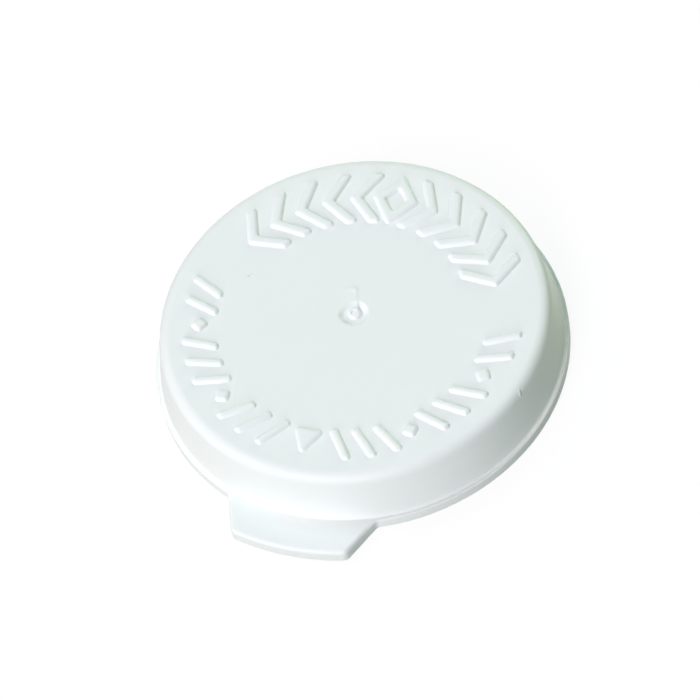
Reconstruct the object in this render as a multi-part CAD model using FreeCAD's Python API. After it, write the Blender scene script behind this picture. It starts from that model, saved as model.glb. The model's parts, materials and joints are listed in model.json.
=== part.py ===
import FreeCAD, Part

import math
import os

# Snap cap for a pharmacy vial, moulded in one piece, in millimetres.
# +Z is up through the flat top, and the thumb tab points along -Y.
# The origin lies on the cap's axis, at mid height of the snap bead that grips the vial.

# Snap bead and the wall above it
NECK_RADIUS = 16.5         # crest of the snap bead, the narrowest part of the way in
BEAD_LEAD_IN = 0.9         # height of the slope from the mouth to the crest
BEAD_LAND = 0.8            # height of the crest
BEAD_RAMP = 0.6            # height of the slope from the crest back to the wall
BEAD_PROUD = 0.45          # crest inside the wall, measured at the seat
MOUTH_GAP = 0.6            # mouth outside the crest, on the radius
BORE_DRAFT = 1.0           # degrees, wider towards the mouth

# Skirt, rim and top
CAP_HEIGHT = 6.2           # rim's underside to the flat top
TOP_THICKNESS = 1.15
TOP_EDGE_ROUND = 1.0
SKIRT_WALL = 0.74          # at the flat top, before its edge is rounded
SKIRT_DRAFT = 10.0         # degrees, wider towards the rim
RIM_LEDGE = 0.445          # rim outside the skirt, on the radius
RIM_HEIGHT = 1.3
EDGE_BREAK = 0.18          # outer edges of the rim and the thumb tab

# Plug ring that seals inside the vial's mouth
SEAT_WIDTH = 1.3           # room for the vial's wall, between the skirt and the plug ring
SEAT_CHAMFER = 0.15        # both roots beside the seat
PLUG_THICKNESS = 0.8
PLUG_DEPTH = 2.2
PLUG_CHAMFER = 0.35

# Thumb tab
TAB_REACH = 3.2            # beyond the rim, on the radius
TAB_ROOT_WIDTH = 14.0      # across the rim's outer edge
TAB_TIP_WIDTH = 10.8       # across the tab's outer edge
TAB_TIP_ROUND = 0.8
TAB_ROOT_FILLET = 0.6

# Gate mark at the centre of the top
GATE_RADIUS = 1.4
GATE_FLOOR_RADIUS = 0.85
GATE_DEPTH = 0.3
NUB_RADIUS = 0.5
NUB_HEIGHT = 0.22
NUB_PIT_RADIUS = 0.16

# Raised marks on the top
MARK_HEIGHT = 0.3
MARK_SLOPE = 35.0          # degrees, sides of a mark from upright
TALL_MARGIN = 0.9          # from the flat top's edge to the tall marks
TALL_SIZE = 5.5
TALL_STROKE = 0.85
TALL_POINT = 2.0           # how far a chevron's point leads its ends
TALL_SPACING = 2.62        # from chevron to chevron, along the arc
TALL_SPAN = 68.0           # degrees, how far the chevrons reach on each side
LOZENGE_WIDTH = 4.2
LOZENGE_GAP = 1.1          # from the lozenge to a chevron's notch, along the arc
SMALL_MARGIN = 1.1
SMALL_SIZE = 3.1
SMALL_STROKE = 0.65
SMALL_LEAN = 25.0          # degrees, bars from the radius
SMALL_SPACING = 2.12       # from bar to bar, along the arc
SMALL_SPAN = 94.0          # degrees, how far the bars reach on each side
STUD_EVERY = 4             # each fourth one is a stud
STUD_SIZE = 1.5
ARROW_SIZE = 2.6
ARROW_GAP = 0.8            # from the arrowhead to a bar's end, along the arc

# Levels
RIM_Z = -(BEAD_LEAD_IN + BEAD_LAND / 2)
LEDGE_Z = RIM_Z + RIM_HEIGHT
TOP_Z = RIM_Z + CAP_HEIGHT
SEAT_Z = TOP_Z - TOP_THICKNESS

# Radii
SEAT_RADIUS = NECK_RADIUS + BEAD_PROUD
SKIRT_TOP_RADIUS = SEAT_RADIUS + SKIRT_WALL
LEDGE_RADIUS = SKIRT_TOP_RADIUS + math.tan(math.radians(SKIRT_DRAFT)) * (TOP_Z - LEDGE_Z)
RIM_RADIUS = LEDGE_RADIUS + RIM_LEDGE
TAB_RADIUS = RIM_RADIUS + TAB_REACH
SEAM_RADIUS = LEDGE_RADIUS + RIM_LEDGE / 4
PLUG_RADIUS = SEAT_RADIUS - SEAT_WIDTH
FLAT_RADIUS = SKIRT_TOP_RADIUS - TOP_EDGE_ROUND

ORIGIN = FreeCAD.Vector(0, 0, 0)
X_AXIS = FreeCAD.Vector(1, 0, 0)
Z_AXIS = FreeCAD.Vector(0, 0, 1)
UP_SIDE = 90.0             # degrees, middle of the tall marks
TAB_SIDE = 270.0           # degrees, thumb tab and middle of the small marks


def corner_arc(before, corner, after):
    """Start, middle and end of the arc that rounds a corner, each a point in the XY plane."""
    here = FreeCAD.Vector(corner[0], corner[1], 0)
    back = (FreeCAD.Vector(before[0], before[1], 0) - here).normalize()
    ahead = (FreeCAD.Vector(after[0], after[1], 0) - here).normalize()
    radius = corner[2]
    half = back.getAngle(ahead) / 2
    inward = (back + ahead).normalize()
    middle = here + inward * (radius / math.sin(half) - radius)
    reach = radius / math.tan(half)
    return here + back * reach, middle, here + ahead * reach


def rounded_outline(corners):
    """Closed wire through corners (x, y, round), with each corner rounded by its own radius."""
    count = len(corners)
    arcs = [corner_arc(corners[i - 1], corners[i], corners[(i + 1) % count]) for i in range(count)]
    edges = []
    for i, (start, middle, end) in enumerate(arcs):
        if corners[i][2] > 0:
            edges.append(Part.Arc(start, middle, end).toShape())
        edges.append(Part.LineSegment(end, arcs[(i + 1) % count][0]).toShape())
    return Part.Wire(edges)


def turned(corners):
    """Solid of revolution about Z from corners (radius, height, round)."""
    wire = rounded_outline(corners)
    wire.rotate(ORIGIN, X_AXIS, 90)
    return Part.Face(wire).revolve(ORIGIN, Z_AXIS, 360)


def turned_body():
    """Top, skirt, snap bead and plug ring, out to the seam in the rim's ledge."""
    crest_z = RIM_Z + BEAD_LEAD_IN
    land_z = crest_z + BEAD_LAND
    ramp_z = land_z + BEAD_RAMP
    ramp_radius = SEAT_RADIUS + math.tan(math.radians(BORE_DRAFT)) * (SEAT_Z - ramp_z)
    tip_z = SEAT_Z - PLUG_DEPTH
    plug_bore = PLUG_RADIUS - PLUG_THICKNESS
    return turned([
        (0, TOP_Z, 0),
        (SKIRT_TOP_RADIUS, TOP_Z, TOP_EDGE_ROUND),
        (LEDGE_RADIUS, LEDGE_Z, 0),
        (SEAM_RADIUS, LEDGE_Z, 0),
        (SEAM_RADIUS, RIM_Z, 0),
        (NECK_RADIUS + MOUTH_GAP, RIM_Z, 0),
        (NECK_RADIUS, crest_z, 0),
        (NECK_RADIUS, land_z, 0),
        (ramp_radius, ramp_z, 0),
        (SEAT_RADIUS, SEAT_Z - SEAT_CHAMFER, 0),
        (SEAT_RADIUS - SEAT_CHAMFER, SEAT_Z, 0),
        (PLUG_RADIUS + SEAT_CHAMFER, SEAT_Z, 0),
        (PLUG_RADIUS, SEAT_Z - SEAT_CHAMFER, 0),
        (PLUG_RADIUS, tip_z + PLUG_CHAMFER, 0),
        (PLUG_RADIUS - PLUG_CHAMFER, tip_z, 0),
        (plug_bore, tip_z, 0),
        (plug_bore, SEAT_Z, 0),
        (0, SEAT_Z, 0),
    ])


def upright_edges(shape, low_radius, high_radius):
    """Upright edges on the thumb tab's side that stand between two radii."""
    found = []
    for edge in shape.Edges:
        if edge.BoundBox.ZLength < RIM_HEIGHT / 2 or edge.BoundBox.YMax > 0:
            continue
        middle = edge.CenterOfMass
        if low_radius < math.hypot(middle.x, middle.y) < high_radius:
            found.append(edge)
    return found


def outer_edges(shape):
    """Edges of the upper and lower faces, all round."""
    return [edge for edge in shape.Edges if edge.BoundBox.ZLength < RIM_HEIGHT / 2]


def tab_blank():
    """Thumb tab before its corners are rounded, from the axis out to a round outer edge."""
    root_y = -math.sqrt(RIM_RADIUS ** 2 - (TAB_ROOT_WIDTH / 2) ** 2)
    tip_y = -math.sqrt(TAB_RADIUS ** 2 - (TAB_TIP_WIDTH / 2) ** 2)
    slope = (TAB_TIP_WIDTH - TAB_ROOT_WIDTH) / 2 / (tip_y - root_y)

    def half_width(y):
        return TAB_ROOT_WIDTH / 2 + slope * (y - root_y)

    far_y = -TAB_RADIUS
    near_y = -LEDGE_RADIUS * 0.8
    outline = Part.makePolygon([
        FreeCAD.Vector(-half_width(near_y), near_y, RIM_Z),
        FreeCAD.Vector(-half_width(far_y), far_y, RIM_Z),
        FreeCAD.Vector(half_width(far_y), far_y, RIM_Z),
        FreeCAD.Vector(half_width(near_y), near_y, RIM_Z),
        FreeCAD.Vector(-half_width(near_y), near_y, RIM_Z),
    ])
    wedge = Part.Face(outline).extrude(Z_AXIS * RIM_HEIGHT)
    return wedge.common(disc(TAB_RADIUS))


def disc(radius):
    """Round plate as thick as the rim."""
    return Part.makeCylinder(radius, RIM_HEIGHT, Z_AXIS * RIM_Z)


def rim_and_tab():
    """Rim outside its seam with the turned body, with the thumb tab grown out of it."""
    plate = disc(RIM_RADIUS).fuse(tab_blank()).removeSplitter()
    middle = (RIM_RADIUS + TAB_RADIUS) / 2
    plate = plate.makeFillet(TAB_ROOT_FILLET, upright_edges(plate, RIM_RADIUS * 0.9, middle))
    plate = plate.makeFillet(TAB_TIP_ROUND, upright_edges(plate, middle, TAB_RADIUS * 1.1))
    plate = plate.makeChamfer(EDGE_BREAK, outer_edges(plate))
    return plate.cut(disc(SEAM_RADIUS))


def gate_dimple():
    """Space of the shallow dimple round the gate."""
    floor_z = TOP_Z - GATE_DEPTH
    return turned([
        (0, TOP_Z + GATE_DEPTH, 0),
        (GATE_RADIUS, TOP_Z + GATE_DEPTH, 0),
        (GATE_RADIUS, TOP_Z, 0),
        (GATE_FLOOR_RADIUS, floor_z, 0),
        (0, floor_z, 0),
    ])


def gate_nub():
    """Stub of the gate on the dimple's floor, with a pit where it tore off."""
    floor_z = TOP_Z - GATE_DEPTH
    crown_z = floor_z + NUB_HEIGHT
    return turned([
        (0, floor_z - GATE_DEPTH / 2, 0),
        (NUB_RADIUS, floor_z - GATE_DEPTH / 2, 0),
        (NUB_RADIUS, floor_z, 0),
        (NUB_PIT_RADIUS * 2, crown_z, 0),
        (NUB_PIT_RADIUS, crown_z, 0),
        (0, floor_z + NUB_HEIGHT / 4, 0),
    ])


def grown(points, distance):
    """Polygon with every side moved outward by a distance; the points run anticlockwise."""
    moved = []
    count = len(points)
    for i in range(count):
        here = FreeCAD.Vector(points[i][0], points[i][1], 0)
        came = here - FreeCAD.Vector(points[i - 1][0], points[i - 1][1], 0)
        going = FreeCAD.Vector(points[(i + 1) % count][0], points[(i + 1) % count][1], 0) - here
        out_came = Z_AXIS.cross(came).normalize() * -1
        out_going = Z_AXIS.cross(going).normalize() * -1
        shift = (out_came + out_going) * (distance / (1 + out_came.dot(out_going)))
        moved.append((here.x + shift.x, here.y + shift.y))
    return moved


def drafted_block(points, side):
    """Block with sloping sides that stands on the top face; side 1 is a block and -1 a pit."""
    shift = math.tan(math.radians(MARK_SLOPE)) * side
    low_z = TOP_Z - MARK_HEIGHT / 2
    high_z = TOP_Z + MARK_HEIGHT
    if side < 0:
        high_z += MARK_HEIGHT / 2
    middle_z = TOP_Z + MARK_HEIGHT / 2
    low = [FreeCAD.Vector(x, y, low_z) for x, y in grown(points, shift * (middle_z - low_z))]
    high = [FreeCAD.Vector(x, y, high_z) for x, y in grown(points, shift * (middle_z - high_z))]
    count = len(points)
    faces = [Part.Face(Part.makePolygon(low + low[:1])), Part.Face(Part.makePolygon(high + high[:1]))]
    for i in range(count):
        j = (i + 1) % count
        faces.append(Part.Face(Part.makePolygon([low[i], low[j], high[j], high[i], low[i]])))
    return Part.makeSolid(Part.makeShell(faces))


def chevron_points(size, stroke, point):
    """Chevron that points along +X, as tall as size along Y."""
    half = size / 2
    thick = stroke / math.cos(math.atan2(point, half))
    back = -(point + thick) / 2
    return [
        (back, -half),
        (back + thick, -half),
        (back + thick + point, 0),
        (back + thick, half),
        (back, half),
        (back + point, 0),
    ]


def bar_points(size, stroke, lean):
    """Bar whose ends are cut along X, leaning towards +X as it goes out along +Y."""
    half = size / 2
    thick = stroke / math.cos(math.radians(lean)) / 2
    shift = math.tan(math.radians(lean)) * half
    return [(-shift - thick, -half), (-shift + thick, -half), (shift + thick, half), (shift - thick, half)]


def lozenge_points(width, height):
    """Lozenge centred on its own origin."""
    return [(-width / 2, 0), (0, -height / 2), (width / 2, 0), (0, height / 2)]


def arrow_points(size):
    """Arrowhead that points out along +Y."""
    return [(-size / 2, -size / 2), (size / 2, -size / 2), (0, size / 2)]


def mirrored(points):
    """The same outline turned over left for right, still anticlockwise."""
    return [(-x, y) for x, y in reversed(points)]


def placed(shape, radius, angle):
    """Mark moved out to a radius and turned to an angle, with its +Y pointing out."""
    shape.translate(FreeCAD.Vector(0, radius, 0))
    shape.rotate(ORIGIN, Z_AXIS, angle - 90)
    return shape


def turns_along(radius, first, spacing, span):
    """Angles of the marks on one side of an arc, from the first one's distance to the span's end."""
    count = int((math.radians(span) * radius - first) / spacing) + 1
    return [math.degrees((first + i * spacing) / radius) for i in range(count)]


def tall_marks():
    """Open lozenge opposite the thumb tab, with chevrons that lead round to the tab from it."""
    radius = FLAT_RADIUS - TALL_MARGIN - TALL_SIZE / 2
    outer = lozenge_points(LOZENGE_WIDTH, TALL_SIZE)
    ring = drafted_block(outer, 1).cut(drafted_block(grown(outer, -TALL_STROKE), -1))
    marks = [placed(ring, radius, UP_SIDE)]
    ahead = chevron_points(TALL_SIZE, TALL_STROKE, TALL_POINT)
    first = LOZENGE_WIDTH / 2 + LOZENGE_GAP + ahead[3][0]
    for turn in turns_along(radius, first, TALL_SPACING, TALL_SPAN):
        marks.append(placed(drafted_block(ahead, 1), radius, UP_SIDE - turn))
        marks.append(placed(drafted_block(mirrored(ahead), 1), radius, UP_SIDE + turn))
    return marks


def small_marks():
    """Arrowhead that points at the thumb tab, with leaning bars and studs on both sides."""
    radius = FLAT_RADIUS - SMALL_MARGIN - SMALL_SIZE / 2
    marks = [placed(drafted_block(arrow_points(ARROW_SIZE), 1), radius, TAB_SIDE)]
    bar = bar_points(SMALL_SIZE, SMALL_STROKE, SMALL_LEAN)
    stud = lozenge_points(STUD_SIZE, STUD_SIZE)
    first = ARROW_SIZE / 2 + ARROW_GAP + bar[2][0]
    for i, turn in enumerate(turns_along(radius, first, SMALL_SPACING, SMALL_SPAN)):
        points = stud if (i + 1) % STUD_EVERY == 0 else bar
        marks.append(placed(drafted_block(points, 1), radius, TAB_SIDE - turn))
        marks.append(placed(drafted_block(mirrored(points), 1), radius, TAB_SIDE + turn))
    return marks


def snap_cap():
    """The whole moulding, as one solid."""
    body = turned_body().fuse(rim_and_tab()).removeSplitter()
    body = body.cut(gate_dimple()).fuse(gate_nub())
    return body.fuse(tall_marks() + small_marks()).removeSplitter()


def main():
    os.makedirs("parts", exist_ok=True)
    cap = snap_cap()
    cap.exportStep("parts/snap_cap.step")
    print("solids", len(cap.Solids), "valid", cap.isValid(), "volume", round(cap.Volume, 1))


main()
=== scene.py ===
import json
import math

import bmesh
import bpy
import numpy as np
from mathutils import Matrix, Vector, geometry


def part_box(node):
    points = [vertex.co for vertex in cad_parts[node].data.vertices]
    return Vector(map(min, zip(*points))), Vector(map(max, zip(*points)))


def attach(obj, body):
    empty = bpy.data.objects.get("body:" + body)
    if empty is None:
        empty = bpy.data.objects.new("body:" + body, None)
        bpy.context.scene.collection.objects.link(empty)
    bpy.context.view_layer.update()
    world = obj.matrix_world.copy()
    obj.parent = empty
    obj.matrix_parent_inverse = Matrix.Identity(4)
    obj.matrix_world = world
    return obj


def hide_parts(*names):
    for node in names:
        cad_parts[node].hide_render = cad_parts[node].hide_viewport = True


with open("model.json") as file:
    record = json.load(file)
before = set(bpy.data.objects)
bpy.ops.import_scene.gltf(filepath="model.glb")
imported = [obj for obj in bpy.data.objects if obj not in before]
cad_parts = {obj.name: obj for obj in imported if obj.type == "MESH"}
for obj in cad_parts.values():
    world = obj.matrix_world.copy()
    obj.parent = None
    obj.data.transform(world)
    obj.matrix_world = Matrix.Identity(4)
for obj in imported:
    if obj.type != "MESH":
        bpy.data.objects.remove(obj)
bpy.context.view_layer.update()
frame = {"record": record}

bl_info = {
    "name": "Snap Cap",
    "version": (1, 0, 0),
    "blender": (4, 5, 0),
    "location": "3D View > Sidebar > Snap Cap",
    "description": "Builds a moulded snap cap for a vial, its material and its photo stage",
    "category": "Add Mesh",
}

MM = 0.001
NODE = "snap_cap"
BODY = "root"
SLOT = "white_polyethylene"

# The packed part gives the sizes that the dressed one has to keep.
CAP_LOW, CAP_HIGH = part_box(NODE)
MOUNTS = {mount["name"]: mount for mount in frame["record"]["mounts"]}
RIM_Z = CAP_LOW.z  # the rim's underside
RIM_RADIUS = min(CAP_HIGH.x, -CAP_LOW.x, CAP_HIGH.y)
TAB_RADIUS = -CAP_LOW.y
MARK_TOP_Z = CAP_HIGH.z
NECK_RADIUS = MOUNTS["vial_neck"]["dims"]["r_mm"] * MM
PLUG_RADIUS = MOUNTS["vial_mouth"]["dims"]["r_mm"] * MM
SEAT_Z = MOUNTS["vial_seat"]["pos_m"][2]

UP_SIDE = math.radians(90)  # middle of the tall marks
TAB_SIDE = math.radians(270)  # thumb tab and middle of the small marks

# How finely the shell is divided.
ROUND_STEPS = 6  # faces along a small round
GUARD = 0.04 * MM  # a face this wide beside each round keeps its wall flat
RIM_COLUMNS = 424  # points along the round part of the rim, ends included
SIDE_COLUMNS = 8  # points along a side of the tab, ends included
TIP_COLUMNS = 18  # points along half of the tab's tip, ends included
LEDGE_ROWS = (0.12, 0.25, 0.4, 0.55, 0.7, 0.85, 0.95, 1.0)  # rings across the ledge, 1 is its edge

# Where the rim turns into the thumb tab, from the rim's radius outward.
TAB_BLEND = 0.8 * MM  # its edge's round has grown to the tab's by here
RISE_FROM, RISE_TO = -0.5 * MM, 1.6 * MM  # the ledge rises to the tab's upper face

# Sizes inside the cap that no setting changes.
MOUTH_ROUND = 0.12 * MM
CREST_ROUND = 0.3 * MM
RAMP_ROUND = 0.25 * MM
PLUG_INNER_TIP = 0.2 * MM
PLUG_INNER_ROOT = 0.35 * MM
MOUTH_FLAT = 0.4 * MM  # part of the rim's underside that is built with the bore
CEILING_FLAT = 1.0 * MM  # part of the ceiling that is built with the bore

# Raised marks and the flat top between them.
FOOT_STEPS = 4  # points up the round at a mark's foot
CREST_STEPS = 8  # points up the round at its crest
CREST_HALF = 0.03 * MM  # a crest keeps at least this half width
LEAST_CORNER = 0.02 * MM  # smallest round of a mark's corner
STUD_EVERY = 4  # a stud takes the place of each fourth bar
SINK_DEPTH = 0.05 * MM  # how far the middle of the flat top has sunk
TOP_SPACING = 0.7 * MM  # between the free points of the flat top
TOP_CLEARANCE = 0.3 * MM  # from them to all that bounds it
EVERY_TRIANGLE = 0  # the weaving's own number for giving them all
WELD = 1e-6  # points this near count as one, in millimetres


def length(name, description, millimetres):
    """A size in metres, with its default given in millimetres."""
    return bpy.props.FloatProperty(
        name=name, description=description, default=millimetres * MM,
        unit="LENGTH", subtype="DISTANCE", precision=5, min=0)


def angle(name, description, degrees):
    """An angle, with its default given in degrees."""
    return bpy.props.FloatProperty(
        name=name, description=description, default=math.radians(degrees),
        unit="ROTATION", subtype="ANGLE")


def amount(name, description, default):
    """A plain number."""
    return bpy.props.FloatProperty(name=name, description=description, default=default, min=0)


def colour(name, description, default):
    """A linear colour."""
    return bpy.props.FloatVectorProperty(
        name=name, description=description, default=default,
        subtype="COLOR", size=3, min=0, max=1)


def lamp_light(name, lamp, default):
    """What a lamp gives a white face turned to it, as a linear colour."""
    return colour(name, f"What the {lamp} gives a white face turned to it", default)


class CapShell(bpy.types.PropertyGroup):
    """Sizes of the top, skirt, rim and thumb tab."""

    cap_height: length("Height", "Rim's underside to the flat top", 6.2)
    skirt_top: length("Skirt top radius", "At the flat top, before its edge is rounded", 17.69)
    skirt_draft: angle("Skirt draft", "Skirt widens towards the rim by this", 10.0)
    top_round: length("Top round", "Round of the top's outer edge", 1.0)
    ledge_height: length("Ledge height", "Rim's underside to its ledge", 1.1)
    ledge_fillet: length("Ledge fillet", "Round between the skirt and the ledge", 0.14)
    ledge_round: length("Ledge round", "Round of the ledge's outer edge", 0.14)
    rim_round: length("Rim round", "Round of the rim's lower outer edge", 0.12)
    tab_height: length("Tab height", "Thumb tab's thickness at its tip", 1.3)
    tab_root: length("Tab root width", "Across the rim's outer edge", 14.0)
    tab_tip: length("Tab tip width", "Across the tab's outer edge", 10.8)
    tab_tip_round: length("Tab corner", "Round of the tab's two corners", 0.8)
    tab_root_fillet: length("Tab root fillet", "Round between the rim and the tab's sides", 0.6)
    tab_edge_round: length("Tab edge", "Round of the tab's upper edge", 0.36)


class CapInside(bpy.types.PropertyGroup):
    """Sizes of the snap bead, the seat and the plug ring."""

    mouth_gap: length("Mouth gap", "Mouth outside the bead's crest", 0.6)
    lead_in: length("Lead-in", "Height of the slope from the mouth to the crest", 0.9)
    bead_land: length("Bead land", "Height of the crest", 0.8)
    bead_ramp: length("Bead ramp", "Height of the slope above the crest", 0.6)
    bead_proud: length("Bead proud", "Crest inside the wall", 0.45)
    bore_draft: angle("Bore draft", "Wall above the bead widens downward by this", 1.0)
    plug_thickness: length("Plug thickness", "Wall of the plug ring", 0.8)
    plug_depth: length("Plug depth", "Plug ring below the seat", 2.2)
    root_round: length("Root round", "Round in the inner corners", 0.15)
    plug_round: length("Plug lead-in", "Round of the plug ring's outer tip", 0.32)


class CapMarks(bpy.types.PropertyGroup):
    """Sizes of the raised marks on the top."""

    flank: angle("Flank", "Steepest slope of a mark's side", 55.0)
    foot_round: length("Foot round", "Round where a mark meets the top", 0.04)
    crest_round: length("Crest round", "Round of a mark's upper edge", 0.38)
    corner: length("Corner", "Round of a mark's corners, seen from above", 0.24)
    tall_margin: length("Tall margin", "Flat top's edge to the tall marks", 0.9)
    tall_size: length("Tall size", "Tall marks, along the radius", 5.5)
    tall_stroke: length("Tall stroke", "Width of a tall mark's stroke", 0.85)
    tall_point: length("Tall point", "How far a chevron's point leads its ends", 2.0)
    tall_spacing: length("Tall spacing", "Chevron to chevron, along the arc", 2.62)
    tall_span: angle("Tall span", "How far the chevrons reach on each side", 68.0)
    lozenge_width: length("Lozenge width", "Open lozenge, along the arc", 4.2)
    lozenge_gap: length("Lozenge gap", "Lozenge to a chevron's notch", 1.1)
    small_margin: length("Small margin", "Flat top's edge to the small marks", 1.1)
    small_size: length("Small size", "Small marks, along the radius", 3.1)
    small_stroke: length("Small stroke", "Width of a bar", 0.65)
    small_lean: angle("Small lean", "Bars from the radius", 25.0)
    small_spacing: length("Small spacing", "Bar to bar, along the arc", 2.12)
    small_span: angle("Small span", "How far the bars reach on each side", 94.0)
    stud_size: length("Stud size", "Across each fourth mark", 1.5)
    arrow_size: length("Arrow size", "Across the arrowhead", 2.6)
    arrow_gap: length("Arrow gap", "Arrowhead to a bar's end", 0.8)


class CapGate(bpy.types.PropertyGroup):
    """Sizes of the gate mark at the centre of the top."""

    dimple_radius: length("Dimple radius", "Shallow dimple round the gate", 1.45)
    floor_radius: length("Floor radius", "Dimple's floor", 0.85)
    dimple_depth: length("Dimple depth", "Dimple below the flat top", 0.30)
    nub_radius: length("Nub radius", "Stub of the gate", 0.62)
    nub_height: length("Nub height", "Stub above the dimple's floor", 0.25)
    flap_width: length("Flap width", "Thin flap of plastic, dragged out of the dimple", 1.65)
    flap_reach: length("Flap reach", "Flap's far end from the middle of the top", 3.06)
    flap_height: length("Flap height", "Flap's raised edge above the flat top", 0.05)


class CapFinish(bpy.types.PropertyGroup):
    """Colours and surface of the moulding."""

    plastic: colour("Plastic", "White polyethylene", (0.875, 0.925, 0.905))
    bloom: colour("Bloom", "Paler streaks where the melt flowed", (0.905, 0.94, 0.93))
    speck: colour("Speck", "Dark specks moulded into the top", (0.52, 0.56, 0.53))
    roughness: amount("Roughness", "Satin of the moulded faces", 0.42)
    translucency: amount("Translucency", "Light that goes in and comes out again", 0.08)


class CapStage(bpy.types.PropertyGroup):
    """Colours of the floor and the lights."""

    floor: colour("Floor", "Floor as it lights the cap from below", (0.32, 0.375, 0.305))
    sky: colour("Sky", "Even light from all round, none when black", (0.0, 0.0, 0.0))
    front_key: lamp_light("Front key", "front lamp", (0.585, 0.515, 0.54))
    low_key: lamp_light("Low key", "low front lamp", (0.357, 0.398, 0.415))
    side_key: lamp_light("Side key", "side lamp", (0.25, 0.215, 0.20))
    far_key: lamp_light("Far key", "far side lamp", (0.194, 0.272, 0.298))
    back_key: lamp_light("Back key", "back lamp", (0.41, 0.46, 0.355))


class Skin:
    """Points and faces of one closed skin, grown ring by ring."""

    def __init__(self):
        self.points = []
        self.faces = []

    def add(self, points):
        """Adds points (x, y, z) and returns their numbers."""
        start = len(self.points)
        self.points.extend(tuple(float(c) for c in point) for point in points)
        return list(range(start, len(self.points)))

    def band(self, ring, other):
        """Closed band of faces between two rings with as many points."""
        count = len(ring)
        for i in range(count):
            j = (i + 1) % count
            self.faces.append((ring[i], ring[j], other[j], other[i]))

    def fill(self, ring):
        """One face across a ring."""
        self.faces.append(tuple(ring))

    def fan(self, ring, centre):
        """Faces from a ring to one point."""
        count = len(ring)
        for i in range(count):
            self.faces.append((ring[i], ring[(i + 1) % count], centre))

    def mesh(self, name):
        """Smooth mesh with all its faces turned outward."""
        mesh = bpy.data.meshes.new(name)
        mesh.from_pydata(self.points, [], self.faces)
        work = bmesh.new()
        work.from_mesh(mesh)
        bmesh.ops.recalc_face_normals(work, faces=work.faces)
        for face in work.faces:
            face.smooth = True
        work.to_mesh(mesh)
        work.free()
        return mesh


def unit(vector):
    """The vector with a length of one."""
    return vector / np.linalg.norm(vector)


def heading(turn):
    """Direction at an angle from +X, seen from above."""
    return np.array([math.cos(turn), math.sin(turn)])


def smooth_step(low, high, value):
    """0 up to low, 1 from high on, and a smooth rise between them."""
    t = np.clip((value - low) / (high - low), 0, 1)
    return t * t * (3 - 2 * t)


def angle_between(first, last):
    """Angle between two vectors with a length of one."""
    return math.acos(np.clip(first @ last, -1, 1))


def swing(first, last, sweep, count):
    """Vectors that turn evenly from one to another, which are an angle (sweep) apart."""
    return [
        (math.sin((1 - t) * sweep) * first + math.sin(t * sweep) * last) / math.sin(sweep)
        for t in np.linspace(0, 1, count)]


def round_corner(before, corner, after, radius, steps):
    """Points on the arc that rounds a corner between two straight runs."""
    back, ahead = unit(before - corner), unit(after - corner)
    half = angle_between(back, ahead) / 2
    centre = corner + unit(back + ahead) * (radius / math.sin(half))
    first = corner + back * (radius / math.tan(half)) - centre
    last = corner + ahead * (radius / math.tan(half)) - centre
    return [centre + spoke for spoke in swing(first, last, math.pi - 2 * half, steps + 1)]


def profile(corners):
    """Points (radius, height) through corners (radius, height, round).

    Each round has a guard point on both sides. The first and last corner have no round.
    """
    points = [np.array(corners[0][:2])]
    for before, corner, after in zip(corners, corners[1:], corners[2:]):
        before, here, after = (np.array(end[:2]) for end in (before, corner, after))
        arc = round_corner(before, here, after, corner[2], ROUND_STEPS)
        points.append(arc[0] + unit(before - here) * GUARD)
        points.extend(arc)
        points.append(arc[-1] + unit(after - here) * GUARD)
    points.append(np.array(corners[-1][:2]))
    return points


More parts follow.
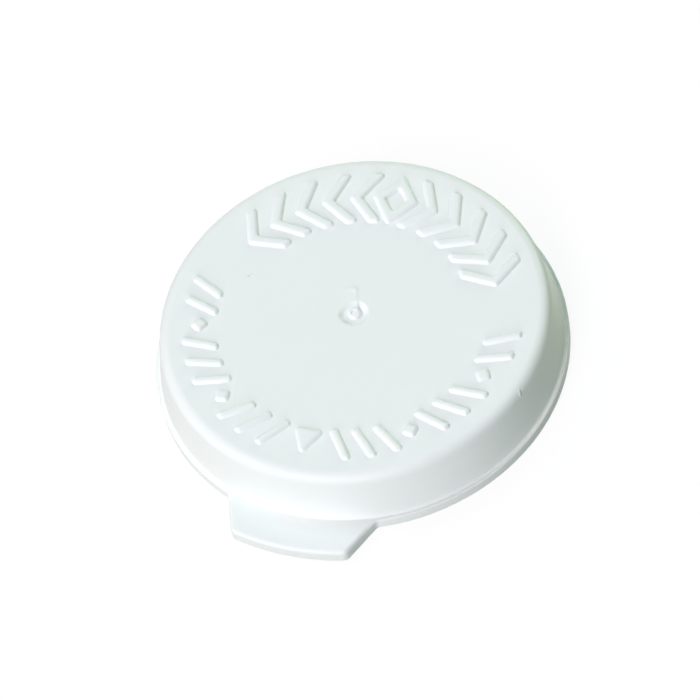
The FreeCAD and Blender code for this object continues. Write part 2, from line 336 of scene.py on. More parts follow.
class RimOutline:
    """Outer edge of the rim and thumb tab, seen from above.

    It has points, their outward normals and how far each belongs to the tab, from 0 to 1.
    """

    def __init__(self, shell):
        self.shell = shell
        half = self.right_half()
        left_half = [(p * (-1, 1), n * (-1, 1), t) for p, n, t in reversed(half)]
        rows = self.rim_arc(half[0][0]) + half + left_half[1:]
        self.points = np.array([row[0] for row in rows])
        self.normals = np.array([row[1] for row in rows])
        self.tabness = np.array([row[2] for row in rows])
        self.angles = np.arctan2(self.points[:, 1], self.points[:, 0])

    def right_half(self):
        """From the rim down the tab's right side and along its tip to the middle."""
        shell = self.shell
        root = self.below_axis(shell.tab_root / 2, RIM_RADIUS)
        tip = self.below_axis(shell.tab_tip / 2, TAB_RADIUS)
        along = unit(tip - root)
        out = np.array([-along[1], along[0]])
        fillet, corner = shell.tab_root_fillet, shell.tab_tip_round
        hollow = self.on_line(root + out * fillet, along, RIM_RADIUS + fillet)
        crown = self.on_line(tip - out * corner, along, TAB_RADIUS - corner)
        rows = []
        inward, tipward = -unit(hollow), unit(crown)
        for direction in swing(inward, -out, angle_between(inward, -out), ROUND_STEPS + 2):
            rows.append((hollow + direction * fillet, -direction))
        start, end = hollow - out * fillet, crown + out * corner
        for t in np.linspace(0, 1, SIDE_COLUMNS)[1:-1]:
            rows.append((start + (end - start) * t, out))
        for direction in swing(out, tipward, angle_between(out, tipward), ROUND_STEPS + 3):
            rows.append((crown + direction * corner, direction))
        first = math.atan2(crown[1], crown[0])
        for turn in np.linspace(first, -math.pi / 2, TIP_COLUMNS)[1:]:
            direction = heading(turn)
            rows.append((direction * TAB_RADIUS, direction))
        return [
            (point, normal, float(smooth_step(0, TAB_BLEND, np.linalg.norm(point) - RIM_RADIUS)))
            for point, normal in rows]

    @staticmethod
    def below_axis(x, radius):
        """Point of a circle on the tab's side, at a place across it."""
        return np.array([x, -math.sqrt(radius ** 2 - x ** 2)])

    @staticmethod
    def on_line(start, along, radius):
        """Point at a radius on the line from start."""
        b = start @ along
        return start + along * (math.sqrt(b * b + radius ** 2 - start @ start) - b)

    @staticmethod
    def rim_arc(end):
        """The round part of the rim, the long way from the tab's left side to its right."""
        stop = math.atan2(end[1], end[0])
        turns = np.linspace(-math.pi - stop, stop - 2 * math.pi, RIM_COLUMNS)[1:-1]
        return [(heading(turn) * RIM_RADIUS, heading(turn), 0.0) for turn in turns]

    def circle(self, radius, height):
        """Ring of points on a circle, in line with the outline's own."""
        z = np.full(len(self.angles), height)
        return np.column_stack([radius * np.cos(self.angles), radius * np.sin(self.angles), z])

    def inset(self, distance, height):
        """Ring of points inside the outline by a distance; both may differ from point to point."""
        distance = np.broadcast_to(distance, len(self.angles))
        height = np.broadcast_to(height, len(self.angles))
        return np.column_stack([self.points - self.normals * distance[:, None], height])


def moved_in(points, distance):
    """Polygon with every side moved inward by a distance; the points run anticlockwise."""
    moved = []
    for before, here, after in zip(np.roll(points, 1, 0), points, np.roll(points, -1, 0)):
        came, going = unit(here - before), unit(after - here)
        left_came = np.array([-came[1], came[0]])
        left_going = np.array([-going[1], going[0]])
        moved.append(here + (left_came + left_going) * (distance / (1 + left_came @ left_going)))
    return np.array(moved)


def mark_ring(points, inset, corner, hole=False):
    """Rounded outline of a mark or of its hole, moved into the mark by a distance."""
    sign = -1 if hole else 1
    moved = moved_in(points, inset * sign)
    ring = []
    for before, here, after in zip(np.roll(moved, 1, 0), moved, np.roll(moved, -1, 0)):
        came, going = here - before, after - here
        bulges = (came[0] * going[1] - came[1] * going[0]) * sign > 0
        radius = max(corner - inset if bulges else corner + inset, LEAST_CORNER)
        ring.extend(round_corner(before, here, after, radius, ROUND_STEPS - 1))
    return np.array(ring)


def flank_profile(marks, height, half_stroke):
    """Steps (inset, height) up a mark's side, from the flat top to its crest."""
    foot, crest, slope = marks.foot_round, marks.crest_round, marks.flank
    straight = height - (foot + crest) * (1 - math.cos(slope))
    run = max(straight, 0) / math.tan(slope)
    steps = [
        (foot * math.sin(t), foot * (1 - math.cos(t)))
        for t in np.linspace(0, slope, FOOT_STEPS)]
    base_in, base_up = steps[-1][0] + run, steps[-1][1] + straight
    steps += [
        (base_in + crest * (math.sin(slope) - math.sin(t)),
         base_up + crest * (math.cos(t) - math.cos(slope)))
        for t in np.linspace(slope, 0, CREST_STEPS)]
    middle = np.interp(height / 2, [z for _, z in steps], [d for d, _ in steps])
    limit = half_stroke - CREST_HALF
    kept = [(d - middle, z) for d, z in steps if d - middle < limit]
    return [(kept[0][0] - GUARD, 0.0)] + kept


def chevron(size, stroke, point):
    """Chevron that points along +X."""
    half = size / 2
    thick = stroke / math.cos(math.atan2(point, half))
    back = -(point + thick) / 2
    return np.array([
        (back, -half), (back + thick, -half), (back + thick + point, 0),
        (back + thick, half), (back, half), (back + point, 0)])


def bar(size, stroke, lean):
    """Bar that leans towards +X as it goes out along +Y."""
    half = size / 2
    thick = stroke / math.cos(lean) / 2  # half its width, measured across the arc
    shift = math.tan(lean) * half
    return np.array([
        (-shift - thick, -half), (-shift + thick, -half),
        (shift + thick, half), (shift - thick, half)])


def lozenge(width, height):
    """Lozenge round its own middle."""
    return np.array([(-width / 2, 0), (0, -height / 2), (width / 2, 0), (0, height / 2)])


def arrowhead(size):
    """Arrowhead that points out along +Y."""
    return np.array([(-size / 2, -size / 2), (size / 2, -size / 2), (0, size / 2)])


def mirrored(points):
    """The same outline turned over left for right, still anticlockwise."""
    return points[::-1] * (-1, 1)


def placed(points, radius, turn):
    """Outline moved out to a radius and turned to an angle, with its +Y pointing out."""
    c, s = math.cos(turn - math.pi / 2), math.sin(turn - math.pi / 2)
    moved = points + (0, radius)
    return moved @ np.array([(c, s), (-s, c)])


def turns_along(radius, first, spacing, span):
    """Angles of the marks on one side of an arc."""
    count = int((span * radius - first) / spacing) + 1
    return [(first + i * spacing) / radius for i in range(count)]


def both_sides(points, radius, middle, turn, half_stroke):
    """A mark on both sides of an arc's middle, one the mirror image of the other."""
    return [
        (placed(points, radius, middle - turn), None, half_stroke),
        (placed(mirrored(points), radius, middle + turn), None, half_stroke)]


def tall_marks(marks, flat_radius):
    """Outlines of the open lozenge and of the chevrons on both sides of it."""
    radius = flat_radius - marks.tall_margin - marks.tall_size / 2
    half = marks.tall_stroke / 2
    outer = lozenge(marks.lozenge_width, marks.tall_size)
    inner = moved_in(outer, marks.tall_stroke)
    found = [(placed(outer, radius, UP_SIDE), placed(inner, radius, UP_SIDE), half)]
    ahead = chevron(marks.tall_size, marks.tall_stroke, marks.tall_point)
    first = marks.lozenge_width / 2 + marks.lozenge_gap + ahead[3][0]
    for turn in turns_along(radius, first, marks.tall_spacing, marks.tall_span):
        found += both_sides(ahead, radius, UP_SIDE, turn, half)
    return found


def small_marks(marks, flat_radius):
    """Outlines of the arrowhead and of the bars and studs on both sides of it."""
    radius = flat_radius - marks.small_margin - marks.small_size / 2
    head = placed(arrowhead(marks.arrow_size), radius, TAB_SIDE)
    found = [(head, None, marks.arrow_size / 4)]
    leaning = bar(marks.small_size, marks.small_stroke, marks.small_lean)
    stud = lozenge(marks.stud_size, marks.stud_size)
    first = marks.arrow_size / 2 + marks.arrow_gap + leaning[2][0]
    turns = turns_along(radius, first, marks.small_spacing, marks.small_span)
    for number, turn in enumerate(turns, 1):
        if number % STUD_EVERY:
            found += both_sides(leaning, radius, TAB_SIDE, turn, marks.small_stroke / 2)
        else:
            found += both_sides(stud, radius, TAB_SIDE, turn, marks.stud_size / 3)
    return found


def mark_outlines(marks, flat_radius):
    """Mid-height outline of each raised mark, with its hole's or None and half its stroke."""
    return tall_marks(marks, flat_radius) + small_marks(marks, flat_radius)


def inside(points, loop):
    """Which points lie inside a closed loop."""
    x, y = points[:, 0][:, None], points[:, 1][:, None]
    ax, ay = loop[:, 0], loop[:, 1]
    bx, by = np.roll(ax, -1), np.roll(ay, -1)
    no_zero = 1e-30  # keeps a level edge, which no line crosses, from dividing by nothing
    crosses = ((ay > y) != (by > y)) & (x < (bx - ax) * (y - ay) / (by - ay + no_zero) + ax)
    return crosses.sum(1) % 2 == 1


def covered(points, solids):
    """Which points lie on one of the solids, each an outer loop with its hole's loop or None."""
    found = np.zeros(len(points), bool)
    for outer, hole in solids:
        taken = inside(points, outer)
        if hole is not None:
            taken &= ~inside(points, hole)
        found |= taken
    return found


def from_line(x, y, start, turn):
    """How far points lie along a line from its start, and how far to its right."""
    c, s = math.cos(turn), math.sin(turn)
    dx, dy = x - start[0], y - start[1]
    return dx * c + dy * s, dx * s - dy * c


def sink(x, y, flat_radius):
    """How far the flat top has sunk at a point as the plastic shrank: more towards the middle."""
    r = np.hypot(x, y) / flat_radius
    return -SINK_DEPTH * np.clip(1 - r * r, 0, 1)


# Form of the gate mark, with its places from the cap's axis.
GATE_COLUMNS = 120
GATE_RADII = MM * np.concatenate([
    np.arange(0.05, 1.9, 0.055), np.arange(1.95, 3.35, 0.09), [3.5, 3.6]])
BOWL_MIDDLE = (0.03 * MM, 0.13 * MM)
BOWL_WAVES, BOWL_WAVE_START, BOWL_UNEVEN = 3, 0.6, 0.03  # its edge is a little out of round
FLAP_TURN = math.radians(110)  # the way the flap was dragged, over the axis
FLAP_RIGHT = 0.52 * MM  # its right edge, from the line through the axis
FLAP_SKEW = 0.25  # its far end slants by this
FLAP_ROOT = 1.1 * MM  # it grows out of the dimple up to here
FLAP_FEATHER = 0.1 * MM  # its edges fade over this on either side
FLAP_FILL = 0.35  # part of the dimple that it fills
# Shares of its height at its left edge, added towards the right, and added at the curled corner.
FLAP_LOW, FLAP_TILT, FLAP_CURL = 0.2, 0.8, 1.3
CURL_IN = (0.3 * MM, 0.25 * MM)  # middle of its curled corner, from the axis line and its end
CURL_FROM, CURL_TO = 0.05 * MM, 0.4 * MM
NUB_MIDDLE = (0.08 * MM, 0.25 * MM)
NUB_CROWN, NUB_FOOT = 0.55, 1.15  # its flat crown and its foot, in its own radii
SLIT_MIDDLE = (-0.1 * MM, 0.42 * MM)
SLIT_TURN = math.radians(53)
SLIT_SHAPE = (0.5, 0.2)  # its half length and half width against each other
SLIT_DEPTH, SLIT_SLOPE = 0.2 * MM, 0.25  # at its middle, and its growth to the lower left
SLIT_FLOOR, SLIT_EDGE = 0.2 * MM, 1.0 * MM


class CapBuilder:
    """Grows the whole moulding from its sizes."""

    def __init__(self, scene):
        self.shell = scene.cap_shell
        self.inner = scene.cap_inside
        self.marks = scene.cap_marks
        self.gate = scene.cap_gate
        self.skin = Skin()
        self.outline = RimOutline(self.shell)
        self.top_z = RIM_Z + self.shell.cap_height
        self.flat_radius = self.shell.skirt_top - self.shell.top_round

    def build(self):
        """Skin of the whole cap."""
        edge = self.outside()
        self.flat_top(edge)
        return self.skin

    def from_above(self, ring):
        """Places (x, y) of a ring's points."""
        return np.array([self.skin.points[i][:2] for i in ring])

    def outside(self):
        """Skirt, rim, tab, underside and inside; returns the ring at the flat top's edge."""
        shell, outline = self.shell, self.outline
        ledge_z = RIM_Z + shell.ledge_height
        foot = shell.skirt_top + math.tan(shell.skirt_draft) * (self.top_z - ledge_z)
        ledge_end = foot + shell.ledge_fillet + 2 * GUARD
        rings = [outline.circle(r, z) for r, z in profile([
            (self.flat_radius - 2 * GUARD, self.top_z, 0),
            (shell.skirt_top, self.top_z, shell.top_round),
            (foot, ledge_z, shell.ledge_fillet),
            (ledge_end, ledge_z, 0),
        ])]
        rings += self.ledge_and_edge(rings[-1], ledge_z)
        rings += self.underside()
        rings += [outline.circle(r, z) for r, z in self.bore()]
        rings = self.stack(rings)
        self.skin.fill(rings[-1])
        return rings[0]

    def stack(self, rings):
        """Adds rings of points with a band between each and the next; returns their numbers."""
        rings = [self.skin.add(points) for points in rings]
        for ring, other in zip(rings, rings[1:]):
            self.skin.band(ring, other)
        return rings

    def ledge_and_edge(self, start, ledge_z):
        """Ledge and the tab's upper face, then the outer edge down to its lower round."""
        shell, outline = self.shell, self.outline
        rounds = shell.ledge_round + (shell.tab_edge_round - shell.ledge_round) * outline.tabness
        rise = shell.tab_height - shell.ledge_height

        def level(points):
            """Height of the ledge and of the tab's upper face at points."""
            reach = np.linalg.norm(points[:, :2], axis=1)
            return ledge_z + rise * smooth_step(RIM_RADIUS + RISE_FROM, RIM_RADIUS + RISE_TO, reach)

        last = outline.inset(rounds, 0.0)
        rings = []
        for t in LEDGE_ROWS:
            points = start + (last - start) * t
            points[:, 2] = level(points)
            rings.append(points)
        crown = level(last)
        for turn in np.linspace(0, math.pi / 2, ROUND_STEPS + 2)[1:]:
            inward, down = rounds * (1 - math.sin(turn)), rounds * (1 - math.cos(turn))
            rings.append(outline.inset(inward, crown - down))
        rings.append(outline.inset(0.0, crown - rounds - GUARD))
        return rings

    def underside(self):
        """Lower round of the outer edge and the flat that the cap stands on."""
        low = self.shell.rim_round
        rings = [self.outline.inset(0.0, RIM_Z + low + GUARD)]
        for turn in np.linspace(0, math.pi / 2, ROUND_STEPS + 1):
            inward, up = low * (1 - math.cos(turn)), low * (1 - math.sin(turn))
            rings.append(self.outline.inset(inward, RIM_Z + up))
        rings.append(self.outline.inset(low + GUARD, RIM_Z))
        return rings

    def bore(self):
        """Profile from the mouth up past the bead, seat and plug ring to the ceiling."""
        inner = self.inner
        crest_z = RIM_Z + inner.lead_in
        land_z = crest_z + inner.bead_land
        ramp_z = land_z + inner.bead_ramp
        seat_radius = NECK_RADIUS + inner.bead_proud
        ramp_radius = seat_radius + math.tan(inner.bore_draft) * (SEAT_Z - ramp_z)
        tip_z = SEAT_Z - inner.plug_depth
        bore = PLUG_RADIUS - inner.plug_thickness
        root = inner.root_round
        return profile([
            (NECK_RADIUS + inner.mouth_gap + MOUTH_FLAT, RIM_Z, 0),
            (NECK_RADIUS + inner.mouth_gap, RIM_Z, MOUTH_ROUND),
            (NECK_RADIUS, crest_z, CREST_ROUND),
            (NECK_RADIUS, land_z, CREST_ROUND),
            (ramp_radius, ramp_z, RAMP_ROUND),
            (seat_radius, SEAT_Z, root),
            (PLUG_RADIUS, SEAT_Z, root),
            (PLUG_RADIUS, tip_z, inner.plug_round),
            (bore, tip_z, PLUG_INNER_TIP),
            (bore, SEAT_Z, PLUG_INNER_ROOT),
            (bore - CEILING_FLAT, SEAT_Z, 0),
        ])

    def flat_top(self, edge):
        """Flat top between its edge, the gate and the raised marks, and the marks themselves."""
        rings = [edge, self.gate_patch()]
        solids = [(self.from_above(rings[-1]), None)]
        for outer, hole, half in mark_outlines(self.marks, self.flat_radius):
            foot, crest = self.raise_mark(outer, half)
            rings.append(foot)
            if hole is None:
                self.skin.fill(crest)
                solids.append((self.from_above(foot), None))
            else:
                hole_foot, hole_crest = self.raise_mark(hole, half, hole=True)
                self.skin.band(crest, hole_crest)
                rings.append(hole_foot)
                solids.append((self.from_above(foot), self.from_above(hole_foot)))
        self.weave(rings, solids)

    def raise_mark(self, points, half, hole=False):
        """Side of a raised mark or of its hole; returns the rings at its foot and its crest."""
        rings = []
        for inset, height in flank_profile(self.marks, MARK_TOP_Z - self.top_z, half):
            flat = mark_ring(points, inset, self.marks.corner, hole)
            z = self.top_z + height + sink(flat[:, 0], flat[:, 1], self.flat_radius)
            rings.append(np.column_stack([flat, z]))
        rings = self.stack(rings)
        return rings[0], rings[-1]

    def weave(self, rings, solids):
        """Triangles of the flat top, between the rings that bound it; the first is its edge."""
        numbers, edges = [], []
        for ring in rings:
            start, count = len(numbers), len(ring)
            edges += [(start + i, start + (i + 1) % count) for i in range(count)]
            numbers += ring
        bounds = self.from_above(numbers)
        free = self.scatter(bounds, solids)
        z = self.top_z + sink(free[:, 0], free[:, 1], self.flat_radius)
        numbers += self.skin.add(np.column_stack([free, z]))
        flat = np.concatenate([bounds, free])
        vectors = [Vector((x / MM, y / MM)) for x, y in flat]
        woven = geometry.delaunay_2d_cdt(vectors, edges, [], EVERY_TRIANGLE, WELD, True)
        faces, origins = woven[2], woven[3]
        triangles = np.array([[origins[v][0] for v in face] for face in faces])
        middles = flat[triangles].mean(1)
        keep = inside(middles, self.from_above(rings[0])) & ~covered(middles, solids)
        for triangle in triangles[keep]:
            self.skin.faces.append(tuple(numbers[i] for i in triangle))

    def scatter(self, bounds, solids):
        """Free points of the flat top, on circles, clear of the points that bound it."""
        found = []
        for radius in np.arange(TOP_SPACING, self.flat_radius, TOP_SPACING):
            count = int(2 * math.pi * radius / TOP_SPACING)
            turns = np.arange(count) * 2 * math.pi / count + radius / TOP_SPACING
            found.append(np.column_stack([radius * np.cos(turns), radius * np.sin(turns)]))
        free = np.concatenate(found)
        nearest = np.full(len(free), np.inf)
        parts = 12  # the bounds are taken in parts, to keep the tables of gaps small
        for part in np.array_split(bounds, parts):
            gaps = np.linalg.norm(free[:, None] - part[None], axis=2).min(1)
            nearest = np.minimum(nearest, gaps)
        free = free[nearest > TOP_CLEARANCE]
        return free[~covered(free, solids)]

    def gate_patch(self):
        """Gate mark and the top round it; returns its outer ring."""
        turns = np.arange(GATE_COLUMNS) * 2 * math.pi / GATE_COLUMNS
        rings = []
        for radius in GATE_RADII[::-1]:
            x, y = radius * np.cos(turns), radius * np.sin(turns)
            rings.append(np.column_stack([x, y, self.gate_height(x, y)]))
        rings = self.stack(rings)
        centre = self.skin.add([(0.0, 0.0, self.gate_height(0.0, 0.0))])
        self.skin.fan(rings[-1], centre[0])
        return rings[0]

    def gate_height(self, x, y):
        """Height of the top near the gate: its dimple with the flap, the stub and the slit."""
        covers, rise = self.flap(x, y)
        dimple = self.dimple(x, y) * (1 - FLAP_FILL * covers)
        height = dimple + self.gate.flap_height * rise * covers + self.stub(x, y) - self.slit(x, y)
        return self.top_z + height + sink(x, y, self.flat_radius)

    def dimple(self, x, y):
        """Height of the dimple, below the flat top."""
        gate = self.gate
        x, y = x - BOWL_MIDDLE[0], y - BOWL_MIDDLE[1]
        wave = np.sin(BOWL_WAVES * np.arctan2(y, x) + BOWL_WAVE_START)
        reach = np.hypot(x, y) * (1 + BOWL_UNEVEN * wave)
        return -gate.dimple_depth * (1 - smooth_step(gate.floor_radius, gate.dimple_radius, reach))

    def flap(self, x, y):
        """Where the flap is, from 0 to 1, and how its height varies.

        It lies beyond the dimple, rises gently to its right edge and curls up at its far corner.
        """
        along, across = from_line(x, y, (0, 0), FLAP_TURN)
        left = FLAP_RIGHT - self.gate.flap_width
        end = self.gate.flap_reach - FLAP_SKEW * across
        corner = np.hypot(across - CURL_IN[0], along - end + CURL_IN[1])
        curl = 1 - smooth_step(CURL_FROM, CURL_TO, corner)
        tilt = smooth_step(left, FLAP_RIGHT, across)
        rise = FLAP_LOW + FLAP_TILT * tilt + FLAP_CURL * curl

        def past(place, edge):
            """0 before one of the flap's edges and 1 beyond it."""
            return smooth_step(edge - FLAP_FEATHER, edge + FLAP_FEATHER, place)

        covers = past(across, left) * (1 - past(across, FLAP_RIGHT)) * (1 - past(along, end))
        return covers * smooth_step(0, FLAP_ROOT, along), rise

    def stub(self, x, y):
        """Height of the gate's stub, above the dimple."""
        foot = self.gate.nub_radius
        reach = np.hypot(x - NUB_MIDDLE[0], y - NUB_MIDDLE[1])
        return self.gate.nub_height * (1 - smooth_step(foot * NUB_CROWN, foot * NUB_FOOT, reach))

    @staticmethod
    def slit(x, y):
        """Depth of the slit torn in the stub, deepest at its lower left end."""
        along, across = from_line(x, y, SLIT_MIDDLE, SLIT_TURN)
        reach = np.hypot(along / SLIT_SHAPE[0], across / SLIT_SHAPE[1])
        return (SLIT_DEPTH - SLIT_SLOPE * along) * (1 - smooth_step(SLIT_FLOOR, SLIT_EDGE, reach))


class Field:
    """A number that varies over a surface. Expressions on it add the nodes for the sum."""

    def __init__(self, finish, socket):
        self.finish = finish
        self.socket = socket

    def maths(self, operation, *terms):
        """One Math node."""
        return self.finish.add("ShaderNodeMath", {"operation": operation}, dict(enumerate(terms)))

    def __add__(self, other):
        return self.maths("ADD", self, other)

    __radd__ = __add__

    def __sub__(self, other):
        return self.maths("SUBTRACT", self, other)

    def __mul__(self, other):
        return self.maths("MULTIPLY", self, other)

    def top(self, other):
        """The larger of the two."""
        return self.maths("MAXIMUM", self, other)

    def fall(self, full, gone):
        """1 up to full and 0 from gone on, with a smooth fall between them."""
        return self.finish.add(
            "ShaderNodeMapRange", {"interpolation_type": "SMOOTHSTEP"},
            {"Value": self, "From Min": full, "From Max": gone, "To Min": 1.0, "To Max": 0.0})


class Finish:
    """The nodes of a material or a world."""

    def __init__(self, owner):
        owner.use_nodes = True
        self.tree = owner.node_tree
        self.tree.nodes.clear()

    def add(self, kind, settings=None, inputs=None, output=0):
        """One node: its settings are set first, then the values or links of its sockets."""
        node = self.tree.nodes.new(kind)
        for name, value in (settings or {}).items():
            setattr(node, name, value)
        for name, value in (inputs or {}).items():
            socket = node.inputs[name]
            if isinstance(value, Field):
                self.tree.links.new(value.socket, socket)
            elif socket.type == "RGBA":
                socket.default_value = (*value, 1.0)
            else:
                socket.default_value = value
        return Field(self, node.outputs[output])

    def blend(self, factor, first, second):
        """Colour between two colours; the node's sockets for colours go by number."""
        return self.add("ShaderNodeMix", {"data_type": "RGBA"}, {0: factor, 6: first, 7: second}, 2)

    def place(self):
        """Place on the object, in metres."""
        return self.add("ShaderNodeTexCoord", output="Object")

    def noise(self, where, scale, detail=2.0, distortion=0.0):
        """Cloudy noise from 0 to 1."""
        return self.add("ShaderNodeTexNoise", None, {
            "Vector": where, "Scale": scale, "Detail": detail, "Distortion": distortion})

    def near(self, where, point):
        """Distance from a point."""
        return self.add(
            "ShaderNodeVectorMath", {"operation": "DISTANCE"}, {0: where, 1: point}, "Value")

    def spots(self, where, spots):
        """1 on spots (point, full out to here, gone from here), and 0 away from them."""
        found = None
        for point, full, gone in spots:
            spot = self.near(where, point).fall(full, gone)
            found = found.top(spot) if found else spot
        return found

    def end_in(self, shader, kind="ShaderNodeOutputMaterial"):
        """Output node fed by a shader."""
        node = self.tree.nodes.new(kind)
        self.tree.links.new(shader.socket, node.inputs["Surface"])


SPECKS = [  # place (x, y) on the flat top and radius, in millimetres
    (-10.78, 2.13, 0.12),
    (-10.62, 2.36, 0.08),
    (-10.52, 2.50, 0.06),
    (4.9, -6.1, 0.05),
]
SPECK_FULL, SPECK_GONE = 0.3, 1.3  # where a speck starts to fade and ends, in its radii
BURR = [  # beads of a small burr on the top's round edge, in millimetres
    (17.00, -4.70, 4.52),
    (17.04, -4.77, 4.43),
    (17.09, -4.84, 4.32),
    (17.13, -4.88, 4.18),
]
BURR_FULL, BURR_GONE = 0.02 * MM, 0.22 * MM
SPECK_DARK = 0.55  # how strongly the specks show
FLOW_STRETCH = (1.0, 1.0, 0.35)
CLOUD_SCALE, STREAK_SCALE = 160.0, 620.0  # features to the metre
PEEL_SCALE, GRAIN_SCALE = 1500.0, 9000.0
CLOUD_SHARE, STREAK_SHARE = 0.7, 0.3  # in the colour
STREAK_ROUGH, GRAIN_ROUGH = 0.12, 0.10  # how far they vary the roughness
GRAIN_RELIEF, PEEL_RELIEF, BURR_RELIEF = 0.35, 0.65, 9.0  # heights, in relief depths
RELIEF_DEPTH = 0.007 * MM


def polyethylene(settings, top_z):
    """Satin white polyethylene, as it comes out of a mould."""
    material = bpy.data.materials.new(SLOT)
    finish = Finish(material)
    where = finish.place()
    stretched = finish.add("ShaderNodeMapping", None, {"Vector": where, "Scale": FLOW_STRETCH})
    clouds = finish.noise(stretched, CLOUD_SCALE, detail=3.0, distortion=0.6)
    streaks = finish.noise(stretched, STREAK_SCALE, distortion=1.4)
    grain = finish.noise(where, GRAIN_SCALE)
    orange_peel = finish.noise(where, PEEL_SCALE)
    flow = clouds * CLOUD_SHARE + streaks * STREAK_SHARE
    tone = finish.blend(flow, settings.plastic, settings.bloom)
    dirt = finish.spots(where, [
        ((x * MM, y * MM, top_z), radius * SPECK_FULL * MM, radius * SPECK_GONE * MM)
        for x, y, radius in SPECKS])
    tone = finish.blend(dirt * SPECK_DARK, tone, settings.speck)
    burr = finish.spots(where, [
        (tuple(c * MM for c in point), BURR_FULL, BURR_GONE) for point in BURR])
    unevenness = (streaks - 0.5) * STREAK_ROUGH
    roughness = settings.roughness + unevenness + (grain - 0.5) * GRAIN_ROUGH
    relief = grain * GRAIN_RELIEF + orange_peel * PEEL_RELIEF + burr * BURR_RELIEF
    normal = finish.add("ShaderNodeBump", None, {
        "Strength": 1.0, "Distance": RELIEF_DEPTH, "Height": relief})
    shader = finish.add("ShaderNodeBsdfPrincipled", {"subsurface_method": "RANDOM_WALK"}, {
        "Base Color": tone,
        "Roughness": roughness,
        "IOR": 1.51,
        "Specular IOR Level": 0.2,
        "Subsurface Weight": settings.translucency,
        "Subsurface Radius": (1.0, 1.0, 0.9),
        "Subsurface Scale": 0.9 * MM,
        "Normal": normal,
    })
    finish.end_in(shader)
    return material


class SNAPCAP_OT_moulding(bpy.types.Operator):
    """Builds the cap: top, skirt, rim, thumb tab, raised marks, gate mark, snap bead, plug ring"""

    bl_idname = "snap_cap.moulding"
    bl_label = "Moulded cap"

    def execute(self, context):
        scene = context.scene
        builder = CapBuilder(scene)
        mesh = builder.build().mesh("cap_moulding")
        piece = bpy.data.objects.new("cap_moulding", mesh)
        scene.collection.objects.link(piece)
        mesh.materials.append(polyethylene(scene.cap_finish, builder.top_z))
        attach(piece, BODY)
        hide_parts(NODE)
        return {"FINISHED"}


CAMERA_TURN = math.radians(29.3)  # round the cap from its tab's side, towards +X
CAMERA_RISE = math.radians(53.99)
CAMERA_ROLL = math.radians(-14.3)
CAMERA_DISTANCE = 342 * MM
CAMERA_AIM = Vector((0, 0, RIM_Z))
SENSOR_WIDTH = 36.0  # in millimetres
PHOTO_SIDE = 700  # in pixels
FOCAL_PIXELS = 3750.5
AIM_PIXEL = (363.1, 353.5)  # where the middle of the rim lies in the photo

FLOOR_HALF = 1500 * MM
FLOOR_GAP = 0.01 * MM  # below the rim, so that no two faces share a plane
FLOOR_SHADE = 0.12  # how far the lamps' light and shadow show on the floor
FLOOR_GLOW = 0.9  # how bright the floor looks without them
FLOOR_MOTTLE = 40.0  # clouds to the metre in its bounced colour
FLOOR_PALER = 1.04  # how much paler they are
LAMP_DISTANCE = 1500 * MM
LAMP_SIZE = 750 * MM
LAMPS = [  # name, setting, and turn and rise in degrees
    ("front_lamp", "front_key", -10, 42),
    ("low_lamp", "low_key", 10, 15),
    ("side_lamp", "side_key", -95, 42),
    ("far_lamp", "far_key", -125, 62),
    ("back_lamp", "back_key", 165, 15),
]


def look_out(turn, rise):
    """Direction from the cap at a turn from its tab's side and a rise above the floor."""
    outward = math.cos(rise)
    return Vector((math.sin(turn) * outward, -math.cos(turn) * outward, math.sin(rise)))


def floor_material(settings):
    """Floor that looks white with a soft shadow, and lights the cap as a plain matt one does."""
    material = bpy.data.materials.new("floor_white")
    finish = Finish(material)
    mottle = finish.noise(finish.place(), FLOOR_MOTTLE)
    pale = tuple(min(1.0, c * FLOOR_PALER) for c in settings.floor)
    tone = finish.blend(mottle, settings.floor, pale)
    bounced = finish.add("ShaderNodeBsdfDiffuse", None, {"Color": tone})
    shaded = finish.add("ShaderNodeBsdfDiffuse", None, {"Color": (FLOOR_SHADE,) * 3})
    glow = finish.add(
        "ShaderNodeEmission", None, {"Color": (1.0, 1.0, 1.0), "Strength": FLOOR_GLOW})
    shown = finish.add("ShaderNodeAddShader", None, {0: shaded, 1: glow})
    finish.end_in(finish.add("ShaderNodeMixShader", None, {0: seen(finish), 1: bounced, 2: shown}))
    return material


def seen(finish):
    """1 for rays that the camera sees, straight, in a shine or through glass, and 0 for others."""
    straight, shine, through = (
        finish.add("ShaderNodeLightPath", output=name)
        for name in ("Is Camera Ray", "Is Glossy Ray", "Is Transmission Ray"))
    return straight.top(shine).top(through)


def world_light(scene, settings):
    """White to the eye all round, and the sky's own light, if any, on the cap."""
    scene.world = bpy.data.worlds.new("studio")
    sky = Finish(scene.world)
    tone = sky.blend(seen(sky), tuple(settings.sky), (1.0, 1.0, 1.0))
    background = sky.add("ShaderNodeBackground", None, {"Color": tone, "Strength": 1.0})
    sky.end_in(background, "ShaderNodeOutputWorld")


def add_lamp(scene, name, turn, rise, given):
    """Large soft lamp that gives a white face turned to it a set colour."""
    lamp = bpy.data.lights.new(name, "AREA")
    lamp.shape = "DISK"
    lamp.size = LAMP_SIZE
    lamp.color = tuple(c / max(given) for c in given)
    lamp.energy = math.pi ** 2 * LAMP_DISTANCE ** 2 * max(given)
    holder = bpy.data.objects.new(name, lamp)
    out = look_out(math.radians(turn), math.radians(rise))
    holder.location = out * LAMP_DISTANCE
    holder.rotation_euler = out.to_track_quat("Z", "Y").to_euler()
    scene.collection.objects.link(holder)


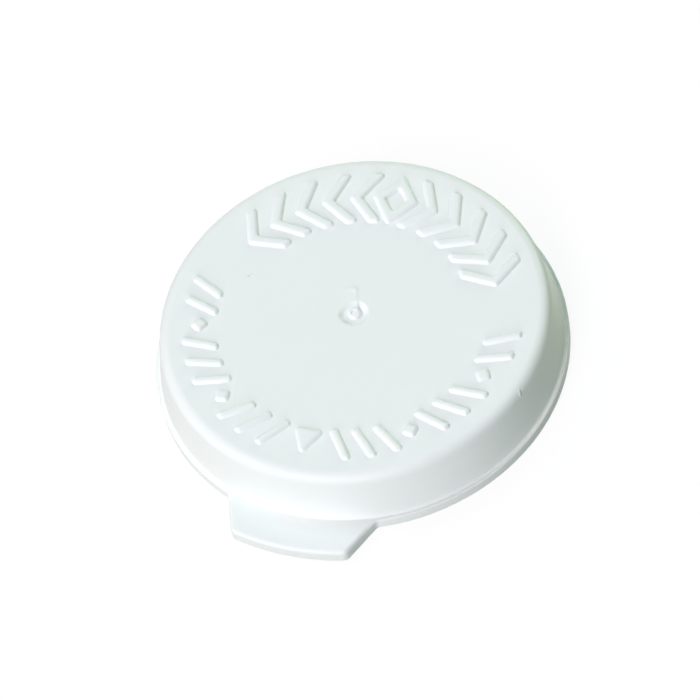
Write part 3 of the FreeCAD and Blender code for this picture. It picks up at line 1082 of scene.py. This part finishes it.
def add_camera(scene):
    """Camera where the photo was taken from."""
    camera = bpy.data.cameras.new("camera")
    camera.sensor_width = SENSOR_WIDTH
    camera.lens = FOCAL_PIXELS / PHOTO_SIDE * SENSOR_WIDTH
    camera.shift_x = (PHOTO_SIDE / 2 - AIM_PIXEL[0]) / PHOTO_SIDE
    camera.shift_y = (AIM_PIXEL[1] - PHOTO_SIDE / 2) / PHOTO_SIDE
    camera.clip_start = 10 * MM
    out = look_out(CAMERA_TURN, CAMERA_RISE)
    right = Vector((math.cos(CAMERA_TURN), math.sin(CAMERA_TURN), 0))
    up = out.cross(right)
    c, s = math.cos(CAMERA_ROLL), math.sin(CAMERA_ROLL)
    axes = Matrix((right * c + up * s, up * c - right * s, out)).transposed()
    holder = bpy.data.objects.new("camera", camera)
    holder.matrix_world = Matrix.Translation(CAMERA_AIM + out * CAMERA_DISTANCE) @ axes.to_4x4()
    scene.collection.objects.link(holder)
    scene.camera = holder


def add_floor(scene, settings):
    """Floor that the cap stands on, a part of the stage."""
    half, level = FLOOR_HALF, RIM_Z - FLOOR_GAP
    mesh = bpy.data.meshes.new("floor")
    corners = [(-half, -half), (half, -half), (half, half), (-half, half)]
    mesh.from_pydata([(x, y, level) for x, y in corners], [], [(0, 1, 2, 3)])
    mesh.materials.append(floor_material(settings))
    floor = bpy.data.objects.new("floor", mesh)
    scene.collection.objects.link(floor)


class SNAPCAP_OT_stage(bpy.types.Operator):
    """Sets out the floor, the soft lamps, the white all round and the camera"""

    bl_idname = "snap_cap.stage"
    bl_label = "Photo stage"

    def execute(self, context):
        scene = context.scene
        settings = scene.cap_stage
        add_floor(scene, settings)
        world_light(scene, settings)
        for name, key, turn, rise in LAMPS:
            add_lamp(scene, name, turn, rise, getattr(settings, key))
        add_camera(scene)
        scene.view_settings.view_transform = "Standard"
        return {"FINISHED"}


class SNAPCAP_PT_panel(bpy.types.Panel):
    """Sizes, colours and steps of the snap cap"""

    bl_idname = "SNAPCAP_PT_panel"
    bl_label = "Snap Cap"
    bl_space_type = "VIEW_3D"
    bl_region_type = "UI"
    bl_category = "Snap Cap"

    def draw(self, context):
        layout = self.layout
        for name, group in GROUPS.items():
            box = layout.box()
            box.label(text=group.__doc__)
            settings = getattr(context.scene, name)
            for entry in group.__annotations__:
                box.prop(settings, entry)
        for operator in OPERATORS:
            layout.operator(operator.bl_idname)


GROUPS = {
    "cap_shell": CapShell,
    "cap_inside": CapInside,
    "cap_marks": CapMarks,
    "cap_gate": CapGate,
    "cap_finish": CapFinish,
    "cap_stage": CapStage,
}
OPERATORS = [SNAPCAP_OT_moulding, SNAPCAP_OT_stage]


def register():
    """Registers the classes and gives each scene their settings."""
    for name, group in GROUPS.items():
        bpy.utils.register_class(group)
        setattr(bpy.types.Scene, name, bpy.props.PointerProperty(type=group))
    for cls in (*OPERATORS, SNAPCAP_PT_panel):
        bpy.utils.register_class(cls)


def unregister():
    """Undoes register."""
    for cls in (SNAPCAP_PT_panel, *reversed(OPERATORS)):
        bpy.utils.unregister_class(cls)
    for name, group in reversed(GROUPS.items()):
        delattr(bpy.types.Scene, name)
        bpy.utils.unregister_class(group)


def main():
    """Builds the cap and its stage."""
    register()
    bpy.ops.snap_cap.stage()
    bpy.ops.snap_cap.moulding()
    bpy.context.view_layer.update()


if __name__ == "__main__":
    main()
